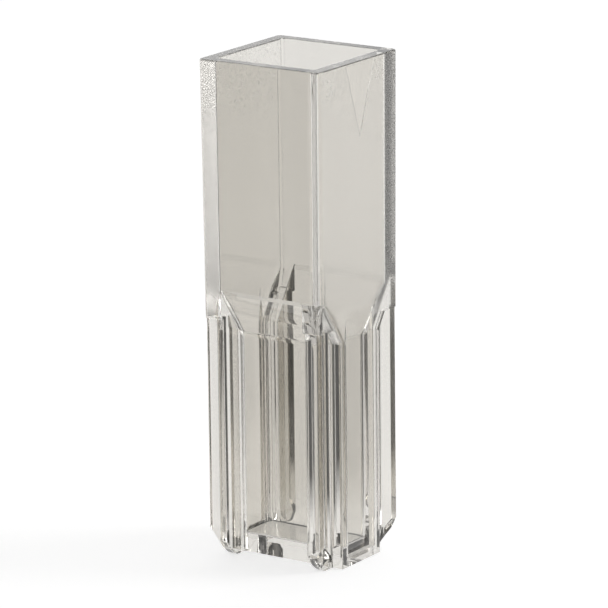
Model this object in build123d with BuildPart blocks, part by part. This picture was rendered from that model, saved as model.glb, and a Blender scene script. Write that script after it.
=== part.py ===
"""Clear semi-micro cuvette, moulded in one piece: mm, Z up, standing on its base at Z = 0.

X is the light path, between the two windows. The part is the same on both sides of X = 0 and of Y = 0,
but for the triangle that marks the light path on the +X face.
"""
import os

from build123d import *

os.makedirs("parts", exist_ok=True)

# Outer size
height = 45.0
rim_width = 12.5
waist_width = 12.28
waist_z = 21.9
base_length = 12.32
post_span = 11.66
post_corner = 0.25
tube_corner = 0.46

# Square mouth of the tube
mouth_width = 10.1
cavity_width = 10.0
cavity_corner = 0.4

# Chamber below the mouth
light_path = 10.0
chamber_width = 4.5
chamber_corner = 0.9
chamber_top_z = 20.3
floor_z = 1.5
floor_fillet = 0.3

# Slanted shoulder between the tube and the chamber's side walls
shoulder_rise = 1.45
shoulder_low_z = 20.1
web_span = 6.06
cavity_low_z = chamber_top_z + shoulder_rise * (cavity_width - chamber_width) / 2
funnel_mid_z = 23.2
funnel_mid_width = chamber_width + 2 * (funnel_mid_z - chamber_top_z) / shoulder_rise

# Corner posts: a plate with a lip turned out at its end
plate_inner = 4.27
plate_outer = 5.08
lip_inner = 4.87
groove_low_z = 20.4
groove_top_y = 4.05
foot_high_z = 1.5
foot_mid_y = 4.97
foot_mid_z = 0.53
foot_flat_y = 4.22
lip_rise = 1.25

# Windows, set back between the ends of the side walls
window_face = 5.6
window_width = 4.16
window_low_z = 0.85
ramp_low_z = 20.4
ramp_high_z = 23.0

# Light-path mark, a shallow triangle that points down from the rim
mark_width = 4.4
mark_drop = 6.7
mark_margin = 0.2
mark_shift = 0.25
mark_depth = 0.06

# Softened edges
rim_fillet = 0.15
edge_fillet = 0.1
root_fillet = 0.15
bay_fillet = 0.25
lip_fillet = 0.28
crease_fillet = 1.0
near = 0.05

# Size of the cutters beyond the part
clear = 3.0

rim_half = rim_width / 2
waist_half = waist_width / 2
web_half = web_span / 2
post_half = post_span / 2
window_half = window_width / 2
far_y = post_half + clear


def upright_edges(body, x, y):
    """The four long upright edges of the lower half that stand at X = +-x, Y = +-y."""
    upright = body.edges().filter_by(lambda edge: edge.length > height / 3 and edge.center().Z < waist_z)
    at_x = upright.filter_by(lambda edge: abs(abs(edge.center().X) - x) < near)
    return at_x.filter_by(lambda edge: abs(abs(edge.center().Y) - y) < near)


# Bays on the two Y sides, open below the slanted shoulder, each rounded towards the wall and the posts
with BuildPart() as bays:
    with BuildSketch(Plane.YZ):
        with BuildLine():
            Polyline(
                (web_half, -clear),
                (web_half, shoulder_low_z),
                (far_y, shoulder_low_z + shoulder_rise * (far_y - web_half)),
                (far_y, -clear),
                close=True,
            )
        make_face()
    extrude(amount=plate_inner, both=True)
    long_edges = bays.edges().filter_by(Axis.X)
    crease = long_edges.filter_by_position(Axis.Z, shoulder_low_z - near, shoulder_low_z + near)
    fillet(crease, crease_fillet)
    end_edges = bays.edges().filter_by(lambda edge: plate_inner - abs(edge.center().X) < near)
    inner_edges = end_edges.filter_by(lambda edge: edge.center().Y < far_y - near)
    fillet(inner_edges.filter_by(lambda edge: edge.center().Z > near - clear), bay_fillet)
    mirror(about=Plane.XZ)

# Grooves between the side walls and the lips of the four posts
with BuildPart() as grooves:
    with BuildSketch(Plane.YZ.offset(plate_outer)):
        with BuildLine():
            Polyline(
                (web_half, -clear),
                (web_half, groove_low_z),
                (groove_top_y, waist_z),
                (lip_inner, waist_z),
                (lip_inner, -clear),
                close=True,
            )
        make_face()
    extrude(amount=clear)
    fillet(grooves.edges().filter_by(Axis.Z).group_by(Axis.X)[0].sort_by(Axis.Y)[-1], lip_fillet)
    fillet(grooves.edges().filter_by(Axis.Z).group_by(Axis.X)[0].sort_by(Axis.Y)[0], root_fillet)
    mirror(about=Plane.XZ)
    mirror(about=Plane.YZ)

with BuildPart() as cuvette:
    # Tube: a square that draws in a little from the rim down to the waist
    with BuildSketch(Plane.XY.offset(waist_z)):
        RectangleRounded(waist_width, waist_width, tube_corner)
    with BuildSketch(Plane.XY.offset(height)):
        RectangleRounded(rim_width, rim_width, tube_corner)
    loft()

    # Block under the tube that the lower half is cut from
    with BuildSketch(Plane.XY):
        RectangleRounded(base_length, post_span, post_corner)
    with BuildSketch(Plane.XY.offset(waist_z)):
        RectangleRounded(waist_width, post_span, post_corner)
    loft()

    # Bays and grooves, which leave the chamber's side walls and the posts
    add(bays.part, mode=Mode.SUBTRACT)
    add(grooves.part, mode=Mode.SUBTRACT)

    # Window recesses on the two X faces, each with a ramp at its top
    ramp_lean = (waist_half - window_face) / (ramp_high_z - ramp_low_z)
    for end in (1, -1):
        with BuildSketch(Plane.XZ):
            with BuildLine():
                Polyline(
                    (end * window_face, window_low_z),
                    (end * window_face, ramp_low_z),
                    (end * (window_face + clear), ramp_low_z + clear / ramp_lean),
                    (end * (window_face + clear), window_low_z),
                    close=True,
                )
            make_face()
        extrude(amount=window_half, both=True, mode=Mode.SUBTRACT)

    # Feet of the posts: the outer corner of each plate is round, and its lip ends on a slant
    for end in (1, -1):
        for side in (1, -1):
            with BuildSketch(Plane.YZ.offset(end * plate_outer)) as under_foot:
                with BuildLine():
                    ThreePointArc(
                        (side * foot_flat_y, 0),
                        (side * foot_mid_y, foot_mid_z),
                        (side * post_half, foot_high_z),
                    )
                    Polyline(
                        (side * post_half, foot_high_z),
                        (side * far_y, foot_high_z),
                        (side * far_y, -clear),
                        (side * foot_flat_y, -clear),
                        (side * foot_flat_y, 0),
                    )
                make_face()
            extrude(amount=clear, dir=(-end, 0, 0), mode=Mode.SUBTRACT)
            extrude(under_foot.sketch, amount=clear, dir=(end, 0, lip_rise), mode=Mode.SUBTRACT)

    # Mouth of the tube
    with BuildSketch(Plane.XY.offset(cavity_low_z)):
        RectangleRounded(cavity_width, cavity_width, cavity_corner)
    with BuildSketch(Plane.XY.offset(height)):
        RectangleRounded(mouth_width, mouth_width, cavity_corner)
    loft(mode=Mode.SUBTRACT)

    # Funnel from the mouth to the chamber: its corners stay as round as the chamber's up to mid height
    with BuildSketch(Plane.XY.offset(chamber_top_z)):
        RectangleRounded(light_path, chamber_width, chamber_corner)
    with BuildSketch(Plane.XY.offset(funnel_mid_z)):
        RectangleRounded(light_path, funnel_mid_width, chamber_corner)
    loft(mode=Mode.SUBTRACT)
    with BuildSketch(Plane.XY.offset(funnel_mid_z)):
        RectangleRounded(light_path, funnel_mid_width, chamber_corner)
    with BuildSketch(Plane.XY.offset(cavity_low_z)):
        RectangleRounded(cavity_width, cavity_width, cavity_corner)
    loft(mode=Mode.SUBTRACT)

    # Chamber
    with BuildSketch(Plane.XY.offset(floor_z)):
        RectangleRounded(light_path, chamber_width, chamber_corner)
    extrude(amount=chamber_top_z - floor_z, mode=Mode.SUBTRACT)

    # Light-path mark, sunk square to the leaning +X face
    lean = (rim_half - waist_half) / (height - waist_z)
    mark_plane = Plane(origin=(rim_half, mark_shift, height), x_dir=(0, 1, 0), z_dir=(1, 0, -lean))
    with BuildSketch(mark_plane):
        with BuildLine():
            Polyline(
                (-mark_width / 2, -mark_margin),
                (mark_width / 2, -mark_margin),
                (0, -mark_drop),
                close=True,
            )
        make_face()
    extrude(amount=-mark_depth, mode=Mode.SUBTRACT)

    # Softened edges: the rim, the chamber floor, and the long edges of posts and side walls
    fillet(cuvette.edges().group_by(Axis.Z)[-1], rim_fillet)
    floor_edges = cuvette.edges().filter_by_position(Axis.Z, floor_z, floor_z)
    fillet(floor_edges, floor_fillet)
    front_x = (base_length + waist_width) / 4
    fillet(upright_edges(cuvette, front_x, web_half), edge_fillet)
    fillet(upright_edges(cuvette, front_x, window_half), edge_fillet)
    fillet(upright_edges(cuvette, plate_inner, post_half), edge_fillet)

cuvette.part.label = "cuvette"
export_step(cuvette.part, "parts/cuvette.step")
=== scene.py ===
"""Looks for the clear semi-micro cuvette: its plastic, the floor, the light and the camera."""
from math import cos, radians, sin

import bpy
from mathutils import Matrix, Vector

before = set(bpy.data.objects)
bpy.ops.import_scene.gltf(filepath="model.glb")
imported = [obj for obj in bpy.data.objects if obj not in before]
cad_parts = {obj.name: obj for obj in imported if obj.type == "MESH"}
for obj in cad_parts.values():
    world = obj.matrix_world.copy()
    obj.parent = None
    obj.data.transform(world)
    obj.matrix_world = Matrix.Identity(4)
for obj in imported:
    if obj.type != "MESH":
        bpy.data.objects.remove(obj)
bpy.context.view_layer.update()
scene = bpy.context.scene
scene.view_settings.view_transform = "Standard"

MM = 0.001

# The photo's viewpoint: lengths in mm, but focal length and image width in pixels
view_turn = radians(34.16)
view_raise = radians(14.56)
view_roll = radians(-0.674)
view_distance = 400.2
view_target = Vector((0.228, 0.142, 22.589))
focal_pixels = 4555.8
image_pixels = 608
sensor_width = 36.0

# Grained faces: from the windows' ramps up, or from the waist up on the tube itself
outer_x = (5.5 * MM, 5.55 * MM)
tube_x = (6.05 * MM, 6.1 * MM)
ramp_low_z = 20.45 * MM
waist_z = 21.9 * MM
grain_fade = 0.1 * MM
square_on = (0.9, 0.98)

# Sunk triangle on the +X face, which has no grain
mark_tip_z = 38.3 * MM
mark_top_z = 44.8 * MM
mark_half = 2.2 * MM
mark_shift = 0.25 * MM

# Specks of the grain: how much they show at edge and rim, on the -X face (back) and the +X face (front)
grain_scale = 6000.0
speck_from, speck_to = 0.52, 0.38
edge_from, edge_to = 3.8 * MM, 6.1 * MM
edge_least, edge_most = 0.08, 0.75
edge_back, edge_front = 0.5, 1.0
rim_from, rim_to = 29.0 * MM, 45.0 * MM
rim_back, rim_front = 0.42, 0.3

# Plastic
clear_tint = (0.79, 0.772, 0.735, 1.0)
speck_tint = (0.45, 0.435, 0.41, 1.0)
smoke_tint = (0.5, 0.47, 0.43, 1.0)
smoke_density = 12.0
plastic_ior = 1.59
haze_scale = 180.0
polish_best, polish_worst = 0.004, 0.02
grain_matte = 0.22
speck_matte = 0.15
wave_scale = 120.0
wave_strength = 0.6
wave_depth = 0.008 * MM

# Floor, in metres
floor_half = 3.0
floor_drop = -0.02 * MM
floor_white = (0.85, 0.85, 0.85, 1.0)
floor_glow = 0.82

# Painted shade: a grey sheet on the floor beside the part, seen only through the plastic, in metres: its
# inner edge opens out behind, and it ends behind and at the right
shade_card_half = 1.0
shade_card_drop = -0.01 * MM
# Grey of the painted shade that the plastic shows beside the part
shade_grey = (0.27, 0.27, 0.27, 1.0)
shade_card_edge = (0.012, 0.022)
shade_card_spread_left, shade_card_spread_right = 2.0, 0.9
shade_card_end = (0.08, 0.1)

# Room: bright behind the part, dim at the sides, and fairly dim above
behind_from, behind_to = 0.45, 0.75
side_level, behind_level = 0.08, 1.0
above_from, above_to = 0.5, 0.7
above_level = 0.3


def new_material(name):
    """An empty material, its node tree, and its output node."""
    material = bpy.data.materials.new(name)
    material.use_nodes = True
    tree = material.node_tree
    tree.nodes.clear()
    return material, tree, tree.nodes.new("ShaderNodeOutputMaterial")


def value_of(tree, operation, first, second=None):
    """One Math node; each side is a number or another node's socket."""
    node = tree.nodes.new("ShaderNodeMath")
    node.operation = operation
    for socket, side in zip(node.inputs, (first, second)):
        if side is None:
            continue
        if isinstance(side, (int, float)):
            socket.default_value = side
        else:
            tree.links.new(side, socket)
    return node.outputs[0]


def product(tree, *factors):
    """All factors multiplied."""
    result = factors[0]
    for factor in factors[1:]:
        result = value_of(tree, "MULTIPLY", result, factor)
    return result


def ramp(tree, value, low, high, low_out=0.0, high_out=1.0):
    """A clamped straight ramp of a value from low..high to low_out..high_out."""
    node = tree.nodes.new("ShaderNodeMapRange")
    tree.links.new(value, node.inputs["Value"])
    node.inputs["From Min"].default_value = low
    node.inputs["From Max"].default_value = high
    node.inputs["To Min"].default_value = low_out
    node.inputs["To Max"].default_value = high_out
    return node.outputs["Result"]


def noise(tree, place, scale, detail):
    """Noise over the part, with scale in grains per metre."""
    node = tree.nodes.new("ShaderNodeTexNoise")
    tree.links.new(place, node.inputs["Vector"])
    node.inputs["Scale"].default_value = scale
    node.inputs["Detail"].default_value = detail
    return node.outputs["Fac"]


def split_ways(tree, vector):
    """The X, Y and Z of a vector."""
    node = tree.nodes.new("ShaderNodeSeparateXYZ")
    tree.links.new(vector, node.inputs[0])
    return node.outputs


def grained_faces(tree, x, y, z):
    """Mask of the grain: outer faces square to X, above the windows, but not in the sunk triangle."""
    from_middle = value_of(tree, "ABSOLUTE", x)
    outer = ramp(tree, from_middle, *outer_x)
    lowest = ramp(tree, from_middle, *tube_x, ramp_low_z, waist_z)
    upper = ramp(tree, value_of(tree, "SUBTRACT", z, lowest), 0.0, grain_fade)
    facing_x = split_ways(tree, tree.nodes.new("ShaderNodeNewGeometry").outputs["Normal"])[0]
    square = ramp(tree, value_of(tree, "ABSOLUTE", facing_x), *square_on)
    half_width = ramp(tree, z, mark_tip_z, mark_top_z, 0.0, mark_half)
    off_centre = value_of(tree, "ABSOLUTE", value_of(tree, "SUBTRACT", y, mark_shift))
    in_mark = value_of(tree, "LESS_THAN", off_centre, half_width)
    marked = product(tree, in_mark, value_of(tree, "GREATER_THAN", x, 0.0))
    return product(tree, outer, upper, square, value_of(tree, "SUBTRACT", 1.0, marked))


def grain_specks(tree, place, x, y, z):
    """Specks of the grain, which show most near one long edge of each grained face and near the rim."""
    specks = ramp(tree, noise(tree, place, grain_scale, 2.0), speck_to, speck_from, 1.0, 0.0)
    to_edge = product(tree, y, value_of(tree, "SIGN", x))
    at_edge = product(tree, ramp(tree, to_edge, edge_from, edge_to, edge_least, edge_most),
                      ramp(tree, x, -MM, MM, edge_back, edge_front))
    at_rim = product(tree, ramp(tree, z, rim_from, rim_to), ramp(tree, x, -MM, MM, rim_back, rim_front))
    return product(tree, specks, value_of(tree, "MAXIMUM", at_edge, at_rim))


def clear_plastic():
    """Clear moulded plastic: polished, with a fine matte grain on the upper faces across the light path."""
    material, tree, out = new_material("clear_plastic")
    nodes, links = tree.nodes, tree.links
    place = nodes.new("ShaderNodeTexCoord").outputs["Object"]
    x, y, z = split_ways(tree, place)
    grained = grained_faces(tree, x, y, z)
    specks = product(tree, grain_specks(tree, place, x, y, z), grained)
    tint = nodes.new("ShaderNodeMix")
    tint.data_type = "RGBA"
    links.new(specks, tint.inputs["Factor"])
    tint.inputs["A"].default_value = clear_tint
    tint.inputs["B"].default_value = speck_tint

    # Roughness: polished, slightly uneven, a little matte in the grain and more so in its specks
    roughness = ramp(tree, noise(tree, place, haze_scale, 3.0), 0.3, 0.7, polish_best, polish_worst)
    for mask, matte in ((grained, grain_matte), (specks, speck_matte)):
        roughness = value_of(tree, "ADD", roughness, product(tree, mask, matte))

    # Relief: faint flow waves all over
    bump = nodes.new("ShaderNodeBump")
    bump.inputs["Strength"].default_value = wave_strength
    bump.inputs["Distance"].default_value = wave_depth
    links.new(noise(tree, place, wave_scale, 1.0), bump.inputs["Height"])

    shader = nodes.new("ShaderNodeBsdfPrincipled")
    links.new(tint.outputs["Result"], shader.inputs["Base Color"])
    shader.inputs["Transmission Weight"].default_value = 1.0
    shader.inputs["IOR"].default_value = plastic_ior
    links.new(roughness, shader.inputs["Roughness"])
    links.new(bump.outputs["Normal"], shader.inputs["Normal"])
    links.new(shader.outputs["BSDF"], out.inputs["Surface"])

    smoke = nodes.new("ShaderNodeVolumeAbsorption")
    smoke.inputs["Color"].default_value = smoke_tint
    smoke.inputs["Density"].default_value = smoke_density
    links.new(smoke.outputs["Volume"], out.inputs["Volume"])
    return material


def view_ways(tree, place):
    """A place or direction split into its part along the photo's view, to the right of it, and up."""
    x, y, up = split_ways(tree, place)
    along = value_of(tree, "ADD", product(tree, x, -sin(view_turn)), product(tree, y, cos(view_turn)))
    aside = value_of(tree, "ADD", product(tree, x, cos(view_turn)), product(tree, y, sin(view_turn)))
    return along, aside, up


def floor_paint():
    """White floor: plain matte, seen as white by the camera and through the plastic."""
    material, tree, out = new_material("white_floor")
    nodes, links = tree.nodes, tree.links
    ray = nodes.new("ShaderNodeLightPath").outputs
    seen = value_of(tree, "MAXIMUM", ray["Is Camera Ray"], ray["Is Glossy Ray"])
    seen = value_of(tree, "MAXIMUM", seen, ray["Is Transmission Ray"])
    matte = nodes.new("ShaderNodeBsdfDiffuse")
    matte.inputs["Color"].default_value = floor_white
    glow = nodes.new("ShaderNodeEmission")
    glow.inputs["Color"].default_value = floor_white
    links.new(product(tree, seen, floor_glow), glow.inputs["Strength"])
    both = nodes.new("ShaderNodeAddShader")
    links.new(matte.outputs[0], both.inputs[0])
    links.new(glow.outputs[0], both.inputs[1])
    links.new(both.outputs[0], out.inputs["Surface"])
    return material


def shade_card_paint():
    """Painted shade: matte grey of a sheet seen only through the plastic, which thins out to nothing at its
    inner edge and at its end.
    """
    material, tree, out = new_material("shade_card")
    nodes, links = tree.nodes, tree.links
    place = nodes.new("ShaderNodeTexCoord").outputs["Object"]
    along, aside, _ = view_ways(tree, place)
    spread = ramp(tree, aside, -MM, MM, shade_card_spread_left, shade_card_spread_right)
    opening = product(tree, value_of(tree, "MAXIMUM", along, 0.0), spread)
    off_side = value_of(tree, "SUBTRACT", value_of(tree, "ABSOLUTE", aside), opening)
    away = nodes.new("ShaderNodeVectorMath")
    away.operation = "LENGTH"
    links.new(place, away.inputs[0])
    ends_here = value_of(tree, "MAXIMUM", ramp(tree, aside, 0.0, 0.02), ramp(tree, along, 0.0, 0.03))
    past_end = product(tree, ramp(tree, away.outputs["Value"], *shade_card_end), ends_here)
    shade_amount = product(tree, ramp(tree, off_side, *shade_card_edge), value_of(tree, "SUBTRACT", 1.0, past_end))
    # Painted shade: this grey shows as dark only in what the plastic bends and mirrors
    matte = nodes.new("ShaderNodeBsdfDiffuse")
    matte.inputs["Color"].default_value = shade_grey
    thinned = nodes.new("ShaderNodeMixShader")
    links.new(shade_amount, thinned.inputs[0])
    links.new(nodes.new("ShaderNodeBsdfTransparent").outputs[0], thinned.inputs[1])
    links.new(matte.outputs[0], thinned.inputs[2])
    links.new(thinned.outputs[0], out.inputs["Surface"])
    return material


def lay_sheet(name, half, height, paint):
    """A level square sheet of the stage, with half its width and its height in metres."""
    mesh = bpy.data.meshes.new(name)
    corners = [(-half, -half, 0), (half, -half, 0), (half, half, 0), (-half, half, 0)]
    mesh.from_pydata(corners, [], [(0, 1, 2, 3)])
    mesh.materials.append(paint)
    sheet = bpy.data.objects.new(name, mesh)
    sheet.location.z = height
    scene.collection.objects.link(sheet)
    return sheet


def lay_shade_card():
    """Painted shade: a grey sheet on the floor, which shows only as dark in what the plastic bends and
    mirrors.
    """
    shade_sheet = lay_sheet("shade_card", shade_card_half, shade_card_drop, shade_card_paint())
    # Hidden from the camera, from shadows and from diffuse light, so it is only painted shade seen through
    # the plastic
    shade_sheet.visible_camera = False
    shade_sheet.visible_shadow = False
    shade_sheet.visible_diffuse = False


def hang_light(name, place, aim, size, power):
    """A square soft light at a place in metres, turned to its aim."""
    lamp = bpy.data.lights.new(name, "AREA")
    lamp.size = size
    lamp.energy = power
    holder = bpy.data.objects.new(name, lamp)
    holder.location = place
    holder.rotation_euler = (Vector(aim) - Vector(place)).to_track_quat("-Z", "Y").to_euler()
    scene.collection.objects.link(holder)


def light_room():
    """Soft light from a room that is bright behind the part, and from one lamp at its right."""
    world = bpy.data.worlds.new("room")
    scene.world = world
    world.use_nodes = True
    tree = world.node_tree
    along, _, up = view_ways(tree, tree.nodes.new("ShaderNodeTexCoord").outputs["Generated"])
    walls = ramp(tree, along, behind_from, behind_to, side_level, behind_level)
    is_wall = ramp(tree, up, above_from, above_to, 1.0, 0.0)
    above = product(tree, value_of(tree, "SUBTRACT", 1.0, is_wall), above_level)
    background = tree.nodes["Background"]
    background.inputs["Color"].default_value = (1.0, 1.0, 1.0, 1.0)
    tree.links.new(value_of(tree, "ADD", product(tree, walls, is_wall), above), background.inputs["Strength"])
    hang_light("side_light", place=(0.48, 0.36, 0.14), aim=(0, 0, 0.025), size=0.3, power=2.0)


def set_camera():
    """A camera at the photo's viewpoint."""
    toward = Vector((sin(view_turn) * cos(view_raise), -cos(view_turn) * cos(view_raise), sin(view_raise)))
    level = Vector((cos(view_turn), sin(view_turn), 0))
    upright = level.cross(-toward)
    right = cos(view_roll) * level + sin(view_roll) * upright
    up = -sin(view_roll) * level + cos(view_roll) * upright
    place = (view_target + toward * view_distance) * MM
    lens = bpy.data.cameras.new("camera")
    lens.sensor_width = sensor_width
    lens.lens = focal_pixels * sensor_width / image_pixels
    lens.clip_start = 0.01
    camera = bpy.data.objects.new("camera", lens)
    camera.matrix_world = Matrix.Translation(place) @ Matrix((right, up, toward)).transposed().to_4x4()
    scene.collection.objects.link(camera)
    scene.camera = camera


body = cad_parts["cuvette"]
body.data.materials.clear()
body.data.materials.append(clear_plastic())
lay_sheet("floor", floor_half, floor_drop, floor_paint())
lay_shade_card()
light_room()
set_camera()

# Enough bounces for a ray to cross every wall of the plastic
scene.cycles.max_bounces = 32
scene.cycles.transmission_bounces = 32
scene.cycles.glossy_bounces = 16
